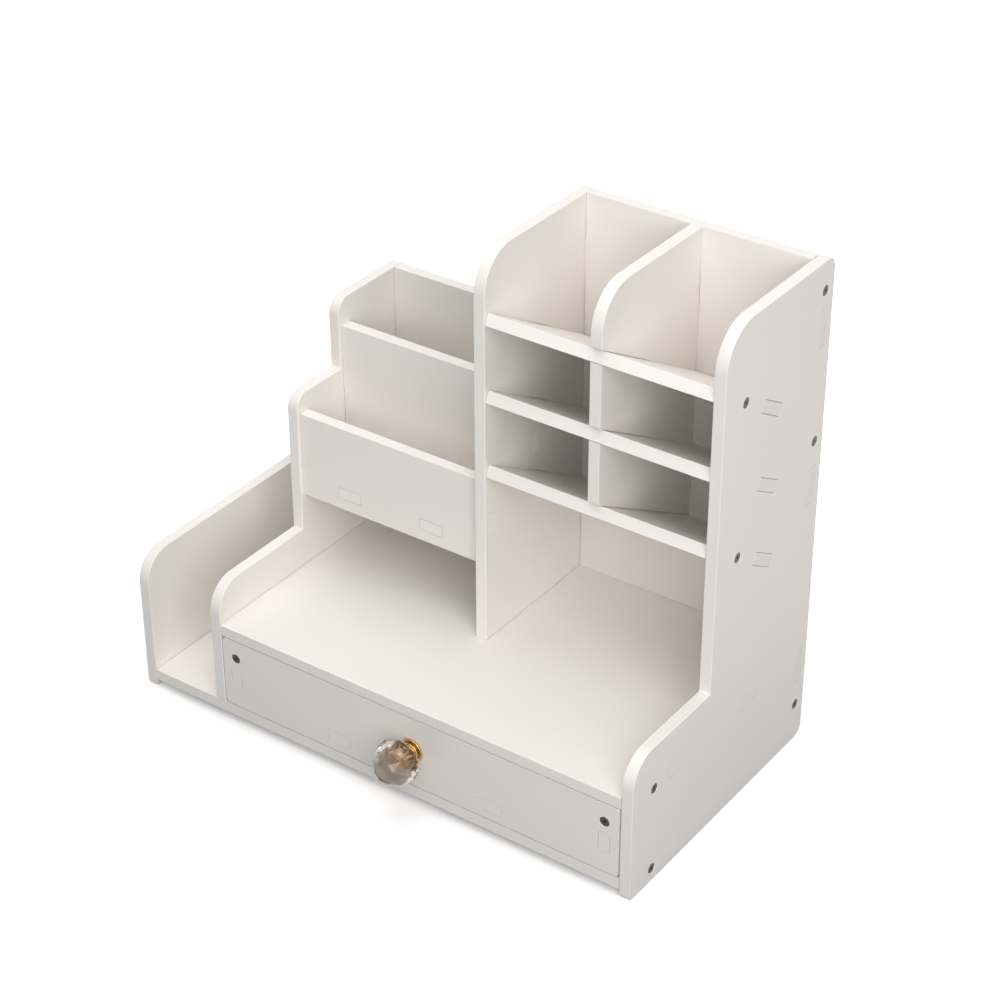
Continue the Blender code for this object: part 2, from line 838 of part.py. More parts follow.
def frame_screws(mesh):
    """All screws of the fixed boards: where each head sits, and the two boards it joins."""
    back = back_board_depth + board / 2
    low = (back, bay_back_height * bay_back_screw_share)
    inner = (back, second_step_height * middle_back_screw_share)
    middle, high = ((back, height) for height in between(0, tower_height, tower_back_screw_shares))
    base = (front_screw_depth, base_lift + board / 2)
    deck = (front_screw_depth, z_platform + board / 2)
    along = shelf_length * shelf_screw_share
    bottom_shelf = shelf_point(0, along, board / 2)
    top_shelf = shelf_point(len(shelf_names) - 1, along, board / 2)
    places = {
        ("right", "right_side_panel", x_end, -1): (
            ("base", base, "base_board"),
            ("platform", deck, "platform_board"),
            ("shelf_bottom", bottom_shelf, "marker_shelf_bottom"),
            ("shelf_top", top_shelf, "marker_shelf_top"),
            ("back_low", low, "tower_back_panel"),
            ("back_middle", middle, "tower_back_panel"),
            ("back_high", high, "tower_back_panel"),
        ),
        ("left_end", "left_end_panel", x_left, 1): (
            ("base", base, "base_board"),
            ("back", low, "book_bay_back_panel"),
        ),
        ("middle", "middle_panel", x_middle, 1): (
            ("platform", deck, "platform_board"),
            ("back", inner, "middle_back_panel"),
        ),
        ("tower", "tower_left_panel", x_tower, 1): (
            ("shelf_bottom", bottom_shelf, "marker_shelf_bottom"),
            ("shelf_top", top_shelf, "marker_shelf_top"),
            ("back", high, "tower_back_panel"),
        ),
    }
    for (group, panel, x_face, way), screws in places.items():
        for label, (depth, height), target in screws:
            name = "screw_" + group + "_" + label
            head = (x_face, y_front + depth, height)
            add_screw(name, mesh, head, (way, 0, 0), (panel, target))


def drawer_screws(mesh):
    """Two screws through the drawer's front and two through its back, into the sides."""
    pieces = []
    sides = (("left", drawer_left + board / 2), ("right", drawer_right - board / 2))
    ends = (("front", y_front, 1), ("back", y_front + drawer_depth, -1))
    for side, x in sides:
        for end, y_face, way in ends:
            name = "screw_drawer_" + end + "_" + side
            boards = ("drawer_" + end, "drawer_" + side + "_side")
            head = (x, y_face, drawer_screw_height)
            pieces.append(add_screw(name, mesh, head, (0, way, 0), boards))
    return pieces


def main():
    """Build the organizer, with the drawer and its knob under one empty on the slide's axis."""
    clear_scene()
    right_side_panel()
    left_end_panel()
    middle_panel()
    tower_left_panel()
    tower_divider()
    base_board()
    platform_board()
    marker_shelves()
    tower_back_panel()
    middle_back_panel()
    book_bay_back_panel()
    pen_box()
    moving = drawer_ends() + drawer_sides()
    moving += [drawer_floor(), knob_base(), knob_crystal(), knob_screw()]
    mesh = screw_mesh()
    frame_screws(mesh)
    moving += drawer_screws(mesh)
    bpy.data.meshes.remove(mesh)
    slide = bpy.data.objects.new("drawer_slide", None)
    bpy.context.scene.collection.objects.link(slide)
    slide.location = (drawer_middle, y_front, knob_height)
    bpy.context.view_layer.update()
    for item in moving:
        item.parent = slide
        item.matrix_parent_inverse = slide.matrix_world.inverted()
    apply_cuts()


main()
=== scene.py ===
"""Desk organizer: the finish of its boards, screws and knob, and the studio around it.

Laid out as an add-on: settings, one operator for each group of pieces, and a panel that lists them.
Metres, +Z up, the front faces -Y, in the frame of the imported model.
"""

import json
import math

import bmesh
import bpy
from bpy.props import FloatProperty, FloatVectorProperty, IntProperty, PointerProperty
from bpy.types import Operator, Panel, PropertyGroup
from mathutils import Matrix, Vector
from mathutils.bvhtree import BVHTree

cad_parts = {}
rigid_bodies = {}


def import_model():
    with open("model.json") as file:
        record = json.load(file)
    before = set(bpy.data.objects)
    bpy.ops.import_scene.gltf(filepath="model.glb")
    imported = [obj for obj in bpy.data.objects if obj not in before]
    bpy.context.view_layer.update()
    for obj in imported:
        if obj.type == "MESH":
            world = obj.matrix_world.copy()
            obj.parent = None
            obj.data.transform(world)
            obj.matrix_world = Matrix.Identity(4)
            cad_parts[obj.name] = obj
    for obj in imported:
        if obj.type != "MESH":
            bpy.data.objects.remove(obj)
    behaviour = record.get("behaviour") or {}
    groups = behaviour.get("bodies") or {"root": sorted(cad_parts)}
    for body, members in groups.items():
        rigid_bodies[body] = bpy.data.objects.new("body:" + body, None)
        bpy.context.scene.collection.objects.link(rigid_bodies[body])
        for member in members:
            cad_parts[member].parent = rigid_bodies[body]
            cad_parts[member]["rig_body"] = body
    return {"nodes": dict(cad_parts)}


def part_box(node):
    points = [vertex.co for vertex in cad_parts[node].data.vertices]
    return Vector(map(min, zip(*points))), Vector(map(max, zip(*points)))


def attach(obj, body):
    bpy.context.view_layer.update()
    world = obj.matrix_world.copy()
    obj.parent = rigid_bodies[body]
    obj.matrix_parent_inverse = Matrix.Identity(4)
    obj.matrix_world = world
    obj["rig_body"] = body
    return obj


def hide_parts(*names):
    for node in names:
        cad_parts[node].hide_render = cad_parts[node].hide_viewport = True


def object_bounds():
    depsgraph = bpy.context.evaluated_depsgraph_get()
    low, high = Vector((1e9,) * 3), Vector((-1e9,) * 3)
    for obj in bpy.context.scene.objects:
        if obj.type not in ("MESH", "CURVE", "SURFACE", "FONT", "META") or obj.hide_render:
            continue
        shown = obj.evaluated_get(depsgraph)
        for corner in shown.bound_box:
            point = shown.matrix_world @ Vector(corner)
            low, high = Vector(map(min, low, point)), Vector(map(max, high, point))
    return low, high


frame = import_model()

bl_info = {
    "name": "Desk organizer finish",
    "version": (1, 0, 0),
    "blender": (4, 5, 0),
    "location": "3D View > Sidebar > Organizer",
    "description": "Finishes the boards, screws and knob of a desk organizer",
    "category": "Object",
}

cad_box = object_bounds()

# Boards by their place in the organizer
SIDE_PANELS = (
    "right_side_panel",
    "left_end_panel",
    "middle_panel",
    "tower_left_panel",
    "tower_divider",
)
LYING_BOARDS = ("base_board", "platform_board")
MARKER_SHELVES = ("marker_shelf_top", "marker_shelf_middle", "marker_shelf_bottom")
BACK_BOARDS = ("tower_back_panel", "middle_back_panel", "book_bay_back_panel")
PEN_BOX = ("pen_box_front_wall", "pen_box_middle_wall", "pen_box_floor")
DRAWER_BOARDS = (
    "drawer_front",
    "drawer_back",
    "drawer_left_side",
    "drawer_right_side",
    "drawer_floor",
)
WOOD_SCREWS = tuple(sorted(name for name in frame["nodes"] if name.startswith("screw_")))

# Surfaces of a board, in the order of its material slots
SKIN, CUT, EASED = range(3)

# Tolerances of the frame's meshes
MERGE = 0.00001
FLAT_ANGLE = math.radians(0.5)
SHARP_ANGLE = math.radians(30)
CURVE_ANGLE = math.radians(80)
FACET_ANGLE = math.radians(4)
SKIN_DOT = 0.99

UP = Vector((0, 0, 1))
GOLDEN_ANGLE = math.pi * (3 - math.sqrt(5))

# How far apart the noises of the pieces lie
PIECE_SHIFTS = 20

# Refractive indices
PLASTIC_IOR = 1.5
CRYSTAL_IOR = 1.54

# Steps of the turned profiles' arcs
RIM_STEPS = 4
CROWN_STEPS = 6
BEAD_STEPS = 8
FLANGE_STEPS = 10

# The studio's fixed values
CLIP_START = 0.05
CLIP_END = 50
FLOOR_DROP = 0.0002
FLOOR_WHITE = 0.95
SHADOW_FADE = 3


# Settings


class BoardSettings(PropertyGroup):
    """Sizes and colours of the foamed plastic boards."""

    skin_colour: FloatVectorProperty(
        name="Skin colour",
        description="Colour of a board's two faces",
        subtype="COLOR",
        min=0,
        max=1,
        default=(0.864, 0.824, 0.778),
    )
    cut_colour: FloatVectorProperty(
        name="Cut colour",
        description="Colour of the cut edges, where the foam shows",
        subtype="COLOR",
        min=0,
        max=1,
        default=(0.886, 0.848, 0.804),
    )
    skin_roughness: FloatProperty(
        name="Skin roughness",
        description="Roughness of a board's two faces",
        subtype="FACTOR",
        min=0,
        max=1,
        default=0.45,
    )
    cut_roughness: FloatProperty(
        name="Cut roughness",
        description="Roughness of the cut edges",
        subtype="FACTOR",
        min=0,
        max=1,
        default=0.54,
    )
    free_edge: FloatProperty(
        name="Free edge",
        description="How far the free edges are eased",
        unit="LENGTH",
        precision=5,
        default=0.0005,
    )
    joint_edge: FloatProperty(
        name="Joint edge",
        description="How far the edges of tenons, mortises and screw holes are eased",
        unit="LENGTH",
        precision=5,
        default=0.0001,
    )
    joint_reach: FloatProperty(
        name="Joint reach",
        description="An edge this close to another piece counts as part of a joint",
        unit="LENGTH",
        precision=5,
        default=0.0012,
    )
    edge_segments: IntProperty(
        name="Edge segments",
        description="Faces across an eased edge",
        min=1,
        default=3,
    )
    mottle_size: FloatProperty(
        name="Mottle size",
        description="Size of the soft clouds in a board's tone",
        unit="LENGTH",
        default=0.045,
    )
    grain_size: FloatProperty(
        name="Grain size",
        description="Size of the fine pitting in a board's skin",
        unit="LENGTH",
        precision=5,
        default=0.0009,
    )
    grain_depth: FloatProperty(
        name="Grain depth",
        description="Depth of the fine pitting in a board's skin",
        unit="LENGTH",
        precision=6,
        default=0.000012,
    )
    cell_size: FloatProperty(
        name="Foam cell",
        description="Size of the foam's cells on a cut edge",
        unit="LENGTH",
        precision=5,
        default=0.0003,
    )
    tool_pitch: FloatProperty(
        name="Tool pitch",
        description="Distance between the cutter's marks along a cut edge",
        unit="LENGTH",
        precision=5,
        default=0.0008,
    )


class ScrewSettings(PropertyGroup):
    """Sizes and colours of the dark screws."""

    colour: FloatVectorProperty(
        name="Plating",
        description="Colour of the screws' dark plating",
        subtype="COLOR",
        min=0,
        max=1,
        default=(0.070, 0.053, 0.047),
    )
    worn_colour: FloatVectorProperty(
        name="Bare steel",
        description="Colour where the driver has worn the plating",
        subtype="COLOR",
        min=0,
        max=1,
        default=(0.30, 0.27, 0.25),
    )
    pitch: FloatProperty(
        name="Thread pitch",
        description="Rise of the screws' thread in one turn",
        unit="LENGTH",
        precision=5,
        default=0.0013,
    )
    thread: FloatProperty(
        name="Thread height",
        description="How far the thread stands out from the shank",
        unit="LENGTH",
        precision=5,
        default=0.00025,
    )
    ridge_share: FloatProperty(
        name="Ridge",
        description="Width of the thread's foot as a share of its pitch",
        subtype="FACTOR",
        min=0,
        max=1,
        default=0.6,
    )
    shank: FloatProperty(
        name="Shank",
        description="Radius of the wood screws' shank",
        unit="LENGTH",
        precision=5,
        default=0.0015,
    )
    rim: FloatProperty(
        name="Rim",
        description="Rounding of a screw's rim",
        unit="LENGTH",
        precision=5,
        default=0.00025,
    )
    cone: FloatProperty(
        name="Cone",
        description="Depth of the wood screws' countersunk head",
        unit="LENGTH",
        precision=5,
        default=0.0020,
    )
    tip: FloatProperty(
        name="Tip",
        description="Length of the wood screws' point",
        unit="LENGTH",
        precision=5,
        default=0.0035,
    )
    recess_length: FloatProperty(
        name="Recess length",
        description="Length of each arm of the cross recess",
        unit="LENGTH",
        precision=5,
        default=0.0038,
    )
    recess_width: FloatProperty(
        name="Recess width",
        description="Width of the cross recess's slots",
        unit="LENGTH",
        precision=5,
        default=0.0009,
    )
    recess_depth: FloatProperty(
        name="Recess depth",
        description="Depth of the cross recess",
        unit="LENGTH",
        precision=5,
        default=0.0012,
    )
    recess_taper: FloatProperty(
        name="Recess taper",
        description="Size of the recess's bottom as a share of its mouth",
        subtype="FACTOR",
        min=0,
        max=1,
        default=0.55,
    )
    pan_height: FloatProperty(
        name="Pan head",
        description="Height of the knob screw's head",
        unit="LENGTH",
        precision=5,
        default=0.0024,
    )
    pan_round: FloatProperty(
        name="Pan rounding",
        description="Rounding of the knob screw's head",
        unit="LENGTH",
        precision=5,
        default=0.0011,
    )
    pan_shank: FloatProperty(
        name="Knob screw's shank",
        description="Radius of the knob screw's shank",
        unit="LENGTH",
        precision=5,
        default=0.0020,
    )
    sides: IntProperty(name="Sides", description="Faces around a screw", min=8, default=32)


class KnobSettings(PropertyGroup):
    """Sizes and colours of the drawer's knob."""

    flange: FloatProperty(
        name="Flange",
        description="Thickness of the flange that lies on the drawer",
        unit="LENGTH",
        precision=5,
        default=0.0016,
    )
    neck_share: FloatProperty(
        name="Neck",
        description="Width of the neck as a share of the flange's",
        subtype="FACTOR",
        min=0,
        max=1,
        default=0.61,
    )
    cup_share: FloatProperty(
        name="Cup",
        description="Width of the cup that carries the crystal, as a share of the flange's",
        subtype="FACTOR",
        min=0,
        max=1,
        default=0.83,
    )
    stud_share: FloatProperty(
        name="Stud",
        description="Width of the stud set in the crystal, as a share of the flange's",
        subtype="FACTOR",
        min=0,
        max=1,
        default=0.60,
    )
    stud: FloatProperty(
        name="Stud length",
        description="How far the stud reaches into the crystal",
        unit="LENGTH",
        precision=5,
        default=0.0090,
    )
    bead: FloatProperty(
        name="Bead",
        description="Radius of the bead round the neck and of the cup's edge",
        unit="LENGTH",
        precision=5,
        default=0.0006,
    )
    bore: FloatProperty(
        name="Bore",
        description="Radius of the bore for the knob's screw",
        unit="LENGTH",
        precision=5,
        default=0.0023,
    )
    bore_depth: FloatProperty(
        name="Bore depth",
        description="Depth of the bore for the knob's screw",
        unit="LENGTH",
        precision=5,
        default=0.0045,
    )

    # Colour of the brass, darkened below bright brass: painted shade for the dark surroundings it
    # would reflect
    brass_and_painted_shade: FloatVectorProperty(
        name="Brass",
        description="Colour of the knob's polished base",
        subtype="COLOR",
        min=0,
        max=1,
        default=(0.46, 0.29, 0.13),
    )
    # Tint of the crystal, darkened well below clear glass: painted shade for the dark surroundings
    # its facets would show
    crystal_tint_and_painted_shade: FloatVectorProperty(
        name="Crystal",
        description="Tint of the knob's cut head",
        subtype="COLOR",
        min=0,
        max=1,
        default=(0.44, 0.395, 0.345),
    )
    facet_edge: FloatProperty(
        name="Facet edge",
        description="Width of the polished edges between the crystal's facets",
        unit="LENGTH",
        precision=5,
        default=0.00028,
    )
    sides: IntProperty(name="Sides", description="Faces around the brass base", min=24, default=96)


class StageSettings(PropertyGroup):
    """Camera, lamps and floor of the studio."""

    eye: FloatVectorProperty(
        name="Camera place",
        description="Where the camera stands",
        subtype="TRANSLATION",
        unit="LENGTH",
        default=(0.796977, -1.069895, 1.006622),
    )
    azimuth: FloatProperty(
        name="Azimuth",
        description="How far the camera stands round to the right of the front",
        subtype="ANGLE",
        default=math.radians(35.4363),
    )
    elevation: FloatProperty(
        name="Elevation",
        description="How far the camera looks down",
        subtype="ANGLE",
        default=math.radians(32.0943),
    )
    roll: FloatProperty(
        name="Roll",
        description="Turn of the camera about its own line of sight",
        subtype="ANGLE",
        default=math.radians(-0.1469),
    )
    lens: FloatProperty(
        name="Lens",
        description="Focal length in millimetres",
        min=1,
        default=90.04,
    )
    floor_colour: FloatVectorProperty(
        name="Floor",
        description="Colour that the floor lends to the light on the object",
        subtype="COLOR",
        min=0,
        max=1,
        default=(0.24, 0.24, 0.24),
    )
    floor_size: FloatProperty(
        name="Floor size",
        description="Length of the floor's sides",
        unit="LENGTH",
        default=8.0,
    )
    floor_glow: FloatProperty(
        name="Floor glow",
        description="Own light of the floor where it is seen, which keeps it white",
        min=0,
        default=0.16,
    )
    shadow_reach: FloatProperty(
        name="Shadow reach",
        description="Distance from the middle at which the shadow on the floor starts to fade",
        unit="LENGTH",
        default=0.16,
    )
    sky_level: FloatProperty(
        name="Sky level",
        description="Even light from all round, as a share of the plain level",
        min=0,
        default=0.28,
    )
    top_place: FloatVectorProperty(
        name="Top lamp's place",
        description="Where the lamp above hangs",
        subtype="TRANSLATION",
        unit="LENGTH",
        default=(-0.05, -0.10, 1.80),
    )
    top_size: FloatProperty(
        name="Top lamp's size",
        description="Length of the sides of the lamp above",
        unit="LENGTH",
        default=1.5,
    )
    top_level: FloatProperty(
        name="Top lamp",
        description="Its light on a face turned to it, as a share of the plain level",
        min=0,
        default=0.58,
    )
    front_place: FloatVectorProperty(
        name="Front lamp's place",
        description="Where the lamp in front, to the right, stands",
        subtype="TRANSLATION",
        unit="LENGTH",
        default=(1.24, -1.22, 1.17),
    )
    front_size: FloatProperty(
        name="Front lamp's size",
        description="Length of the sides of the lamp in front",
        unit="LENGTH",
        default=1.5,
    )
    front_level: FloatProperty(
        name="Front lamp",
        description="Its light on a face turned to it, as a share of the plain level",
        min=0,
        default=0.70,
    )
    back_place: FloatVectorProperty(
        name="Back lamp's place",
        description="Where the fill lamp behind, to the left, stands",
        subtype="TRANSLATION",
        unit="LENGTH",
        default=(-1.35, 1.30, 0.20),
    )
    back_size: FloatProperty(
        name="Back lamp's size",
        description="Length of the sides of the lamp behind",
        unit="LENGTH",
        default=0.9,
    )
    back_level: FloatProperty(
        name="Back lamp",
        description="Its light on a face turned to it, as a share of the plain level",
        min=0,
        default=0.35,
    )


class OrganizerSettings(PropertyGroup):
    """All settings of the organizer."""

    boards: PointerProperty(type=BoardSettings)
    screws: PointerProperty(type=ScrewSettings)
    knob: PointerProperty(type=KnobSettings)
    stage: PointerProperty(type=StageSettings)


# Shader maths


class Value:
    """An output of a shader node, with Python's operators standing for Math nodes."""

    def __init__(self, finish, socket):
        self.finish = finish
        self.socket = socket

    def maths(self, operation, first, second):
        return self.finish.node("ShaderNodeMath", {"operation": operation}, {0: first, 1: second})

    def __add__(self, other):
        return self.maths("ADD", self, other)

    def __radd__(self, other):
        return self.maths("ADD", other, self)

    def __sub__(self, other):
        return self.maths("SUBTRACT", self, other)

    def __rsub__(self, other):
        return self.maths("SUBTRACT", other, self)

    def __mul__(self, other):
        return self.maths("MULTIPLY", self, other)

    def __rmul__(self, other):
        return self.maths("MULTIPLY", other, self)

    def __truediv__(self, other):
        return self.maths("DIVIDE", self, other)

    def __pow__(self, other):
        return self.maths("POWER", self, other)

    def __gt__(self, other):
        return self.maths("GREATER_THAN", self, other)


class Finish:
    """A node tree under construction."""

    def __init__(self, tree):
        self.tree = tree
        tree.nodes.clear()

    def node(self, kind, settings=None, inputs=None, output=0):
        """Add a node: its settings first, then the values or links of its sockets."""
        added = self.tree.nodes.new(kind)
        for name, value in (settings or {}).items():
            if name == "stops":
                fill_ramp(added.color_ramp, value)
            else:
                setattr(added, name, value)
        for name, value in (inputs or {}).items():
            if isinstance(value, Value):
                self.tree.links.new(value.socket, added.inputs[name])
            else:
                added.inputs[name].default_value = value
        return Value(self, added.outputs[output]) if added.outputs else None

    def noise(self, place, size, detail=2, shift=0, roughness=0.5):
        """Soft noise of a given size in metres, which another shift gives another pattern."""
        inputs = {
            "Vector": place,
            "W": shift,
            "Scale": 1 / size,
            "Detail": detail,
            "Roughness": roughness,
        }
        return self.node("ShaderNodeTexNoise", {"noise_dimensions": "4D"}, inputs)

    def piece_shift(self):
        """A shift for noises that differs from piece to piece."""
        return self.node("ShaderNodeObjectInfo", output="Random") * PIECE_SHIFTS

    def mix(self, share, first, second):
        """Blend two colours."""
        inputs = {0: share, 6: first, 7: second}
        return self.node("ShaderNodeMix", {"data_type": "RGBA"}, inputs, output=2)

    def step(self, value, low, high):
        """Rise smoothly from 0 to 1 as a value goes from low to high."""
        inputs = {"Value": value, "From Min": low, "From Max": high}
        return self.node("ShaderNodeMapRange", {"interpolation_type": "SMOOTHSTEP"}, inputs)

    def bump(self, height, distance, below=None):
        """Relief of a given height in metres, on top of another relief where there is one."""
        inputs = {"Height": height, "Distance": distance}
        if below is not None:
            inputs["Normal"] = below
        return self.node("ShaderNodeBump", None, inputs)


def fill_ramp(ramp, stops):
    """Give a colour ramp its stops, as pairs of place and colour."""
    while len(ramp.elements) > 1:
        ramp.elements.remove(ramp.elements[0])
    ramp.elements[0].position, ramp.elements[0].color = stops[0]
    for place, colour in stops[1:]:
        ramp.elements.new(place).color = colour


def new_material(name):
    """An empty material and the finish that fills it."""
    material = bpy.data.materials.new(name)
    material.use_nodes = True
    return material, Finish(material.node_tree)


def shade(finish, inputs):
    """End a material in a Principled shader."""
    shader = finish.node("ShaderNodeBsdfPrincipled", None, inputs)
    finish.node("ShaderNodeOutputMaterial", None, {"Surface": shader})


def toned(colour, factor):
    """A colour made lighter or darker, as four values."""
    return (*(min(1, value * factor) for value in colour), 1)


# Materials


def skin_finish(name, settings):
    """The board's smooth closed skin: satin, faintly clouded, finely pitted, with a few scuffs."""
    cloud_tones = (0.975, 1.02)
    pit_tone = 0.94
    pit_share = 0.35
    scuff_range = (0.60, 0.75)
    scuff_breakup = 0.7
    wave_depth = settings.grain_depth * 12
    unevenness = 0.10
    mean_unevenness = 0.06
    material, make = new_material(name)
    place = make.node("ShaderNodeTexCoord", output="Object")
    piece = make.piece_shift()
    clouds = make.noise(place, settings.mottle_size, detail=3, shift=piece)
    grain = make.noise(place, settings.grain_size, shift=piece)
    scuffs = make.noise(place, settings.mottle_size / 4, 6, piece, scuff_breakup)
    scuffs = make.step(scuffs, *scuff_range)
    waves = make.noise(place, settings.mottle_size * 2, detail=1, shift=piece)
    tone = make.mix(clouds, *(toned(settings.skin_colour, factor) for factor in cloud_tones))
    tone = make.mix(grain * pit_share, tone, toned(settings.skin_colour, pit_tone))
    relief = make.bump(waves, wave_depth)
    relief = make.bump(grain, settings.grain_depth, relief)
    rough = clouds * unevenness + scuffs * unevenness
    shade(make, {
        "Base Color": tone,
        "Roughness": rough + (settings.skin_roughness - mean_unevenness),
        "Normal": relief,
        "IOR": PLASTIC_IOR,
    })
    return material


def cut_finish(name, settings, turn, burnish):
    """Matte foam with open cells and the cutter's marks across it, or its burnished corner."""
    cloud_tones = (0.98, 1.01)
    cell_tone = 0.96
    cell_breakup = 0.6
    cell_share = 0.5 - 0.3 * burnish
    mark_stretch = 40
    mark_depth = settings.grain_depth * 2
    cell_depth = settings.grain_depth * (2 - burnish)
    unevenness = 0.12
    material, make = new_material(name)
    place = make.node("ShaderNodeTexCoord", output="Object")
    piece = make.piece_shift()
    across = make.node(
        "ShaderNodeMapping",
        {"vector_type": "TEXTURE"},
        {"Vector": place, "Rotation": turn, "Scale": (1, 1, mark_stretch)},
    )
    marks = make.noise(across, settings.tool_pitch, detail=1, shift=piece)
    cells = make.noise(place, settings.cell_size, shift=piece, roughness=cell_breakup)
    clouds = make.noise(place, settings.mottle_size, detail=3, shift=piece)
    tone = make.mix(clouds, *(toned(settings.cut_colour, factor) for factor in cloud_tones))
    tone = make.mix(cells * cell_share, tone, toned(settings.cut_colour, cell_tone))
    relief = make.bump(marks, mark_depth)
    relief = make.bump(cells, cell_depth, relief)
    least = settings.cut_roughness - unevenness / 2 - unevenness * burnish
    shade(make, {
        "Base Color": tone,
        "Roughness": cells * unevenness + least,
        "Normal": relief,
        "IOR": PLASTIC_IOR,
    })
    return material


def screw_finish(settings):
    """Dark bronze plating, worn to bare steel in spots."""
    blotch_size = 0.0016
    blotch_breakup = 0.6
    grain_size = 0.0003
    grain_depth = 0.00002
    grain_tones = (0.7, 1.3)
    worn_range = (0.60, 0.74)
    worn_share = 0.25
    metal = 0.85
    roughness = 0.22
    blotch_roughness = 0.25
    grain_roughness = 0.12
    material, make = new_material("screw_plating")
    place = make.node("ShaderNodeTexCoord", output="Object")
    piece = make.piece_shift()
    blotch = make.noise(place, blotch_size, 4, piece, blotch_breakup)
    worn = make.step(blotch, *worn_range)
    fine = make.noise(place, grain_size, shift=piece)
    tone = make.mix(fine, *(toned(settings.colour, factor) for factor in grain_tones))
    tone = make.mix(worn * worn_share, tone, toned(settings.worn_colour, 1))
    shade(make, {
        "Base Color": tone,
        "Metallic": metal,
        "Roughness": blotch * blotch_roughness + fine * grain_roughness + roughness,
        "Normal": make.bump(fine, grain_depth),
    })
    return material


def brass_finish(settings, centre):
    """Polished brass, its tone darkened as painted shade for dark surroundings in its reflections:
    turning marks round its axis, faint tarnish and small handling marks.
    """
    turning_size = 0.00025
    turning_depth = 0.000004
    tarnish_size = 0.004
    tarnish_breakup = 0.6
    tarnish_tones = (0.86, 1.06)
    mark_size = 0.0011
    mark_breakup = 0.75
    mark_range = (0.62, 0.72)
    roughness = 0.08
    unevenness = 0.10
    turning_roughness = 0.05
    material, make = new_material("knob_brass")
    place = make.node("ShaderNodeTexCoord", output="Object")
    local = make.node(
        "ShaderNodeMapping",
        {"vector_type": "TEXTURE"},
        {"Vector": place, "Location": centre},
    )
    parts = make.node("ShaderNodeSeparateXYZ", None, {"Vector": local}).socket.node.outputs
    x, y, z = (Value(make, part) for part in parts)
    radius = (x * x + z * z) ** 0.5
    rings = make.node("ShaderNodeCombineXYZ", None, {"X": radius, "Y": y})
    turning = make.noise(rings, turning_size)
    tarnish = make.noise(place, tarnish_size, detail=4, roughness=tarnish_breakup)
    marks = make.noise(place, mark_size, detail=5, roughness=mark_breakup)
    marks = make.step(marks, *mark_range)
    # The brass tone is darkened as painted shade; the tarnish clouds on it are the metal's own
    tone = make.mix(tarnish, *(toned(settings.brass_and_painted_shade, factor) for factor in tarnish_tones))
    rough = tarnish * unevenness + turning * turning_roughness + marks * unevenness
    shade(make, {
        "Base Color": tone,
        "Metallic": 1.0,
        "Roughness": rough + roughness,
        "Normal": make.bump(turning, turning_depth),
    })
    return material


def crystal_finish(settings):
    """Clear cut crystal, polished, with faint finger marks; its tint is darkened as painted shade
    for the dark surroundings it would show.
    """
    print_size = 0.003
    print_breakup = 0.6
    print_range = (0.5, 0.8)
    print_roughness = 0.05
    roughness = 0.005
    ripple_size = 0.006
    ripple_depth = 0.000006
    material, make = new_material("knob_crystal_glass")
    place = make.node("ShaderNodeTexCoord", output="Object")
    prints = make.noise(place, print_size, detail=5, roughness=print_breakup)
    ripple = make.noise(place, ripple_size, detail=1)
    # The darkened tint is painted shade, standing in for dark surroundings seen in and through the
    # crystal
    shade(make, {
        "Base Color": toned(settings.crystal_tint_and_painted_shade, 1),
        "Transmission Weight": 1.0,
        "IOR": CRYSTAL_IOR,
        "Roughness": make.step(prints, *print_range) * print_roughness + roughness,
        "Normal": make.bump(ripple, ripple_depth),
    })
    return material


# Meshes


def merged_copy(name):
    """A node's mesh as a bmesh with its triangles merged into whole faces."""
    bm = bmesh.new()
    bm.from_mesh(frame["nodes"][name].data)
    bmesh.ops.remove_doubles(bm, verts=bm.verts, dist=MERGE)
    bmesh.ops.dissolve_limit(bm, angle_limit=FLAT_ANGLE, verts=bm.verts, edges=bm.edges)
    return bm


def add_piece(name, node, mesh):
    """Link a finished mesh that stands for a node of the frame and moves with it."""
    piece = bpy.data.objects.new(name, mesh)
    bpy.context.scene.collection.objects.link(piece)
    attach(piece, frame["nodes"][node]["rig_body"])
    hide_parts(node)
    return piece


def applied(mesh, *modifiers):
    """A mesh with modifiers applied, each given as its type and its settings."""
    holder = bpy.data.objects.new("holder", mesh)
    bpy.context.scene.collection.objects.link(holder)
    for kind, settings in modifiers:
        modifier = holder.modifiers.new(kind.lower(), kind)
        for name, value in settings.items():
            setattr(modifier, name, value)
    graph = bpy.context.evaluated_depsgraph_get()
    result = bpy.data.meshes.new_from_object(holder.evaluated_get(graph))
    bpy.data.objects.remove(holder, do_unlink=True)
    return result


def mesh_of(bm, name, *materials):
    """A smoothly shaded mesh from a bmesh, with its materials."""
    mesh = bpy.data.meshes.new(name)
    for material in materials:
        mesh.materials.append(material)
    bm.to_mesh(mesh)
    bm.free()
    mesh.shade_smooth()
    return mesh


def other_pieces(name):
    """A search tree of the surfaces of every node but one."""
    vertices = []
    faces = []
    for node, item in frame["nodes"].items():
        if node != name:
            start = len(vertices)
            vertices += [vertex.co for vertex in item.data.vertices]
            faces += [[start + index for index in face.vertices] for face in item.data.polygons]
    return BVHTree.FromPolygons(vertices, faces)


def set_board_normals(mesh):
    """Shade the skin flat, the cut edges smoothly along their arcs, and the corners between."""
    bm = bmesh.new()
    bm.from_mesh(mesh)
    normals = []
    for face in bm.faces:
        for vertex in face.verts:
            around = vertex.link_faces
            skin = [other.normal for other in around if other.material_index == SKIN]
            cut = [
                other.normal * other.calc_area()
                for other in around
                if other.material_index == CUT and other.normal.angle(face.normal) < CURVE_ANGLE
            ]
            if face.material_index == SKIN:
                normal = face.normal
            elif face.material_index == CUT:
                normal = sum(cut, Vector())
            elif skin:
                normal = max(skin, key=face.normal.dot)
            elif cut:
                normal = sum(cut, Vector())
            else:
                normal = sum((other.normal for other in around), Vector())
            normals.append(normal.normalized())
    bm.free()
    mesh.normals_split_custom_set(normals)


board_materials = {}


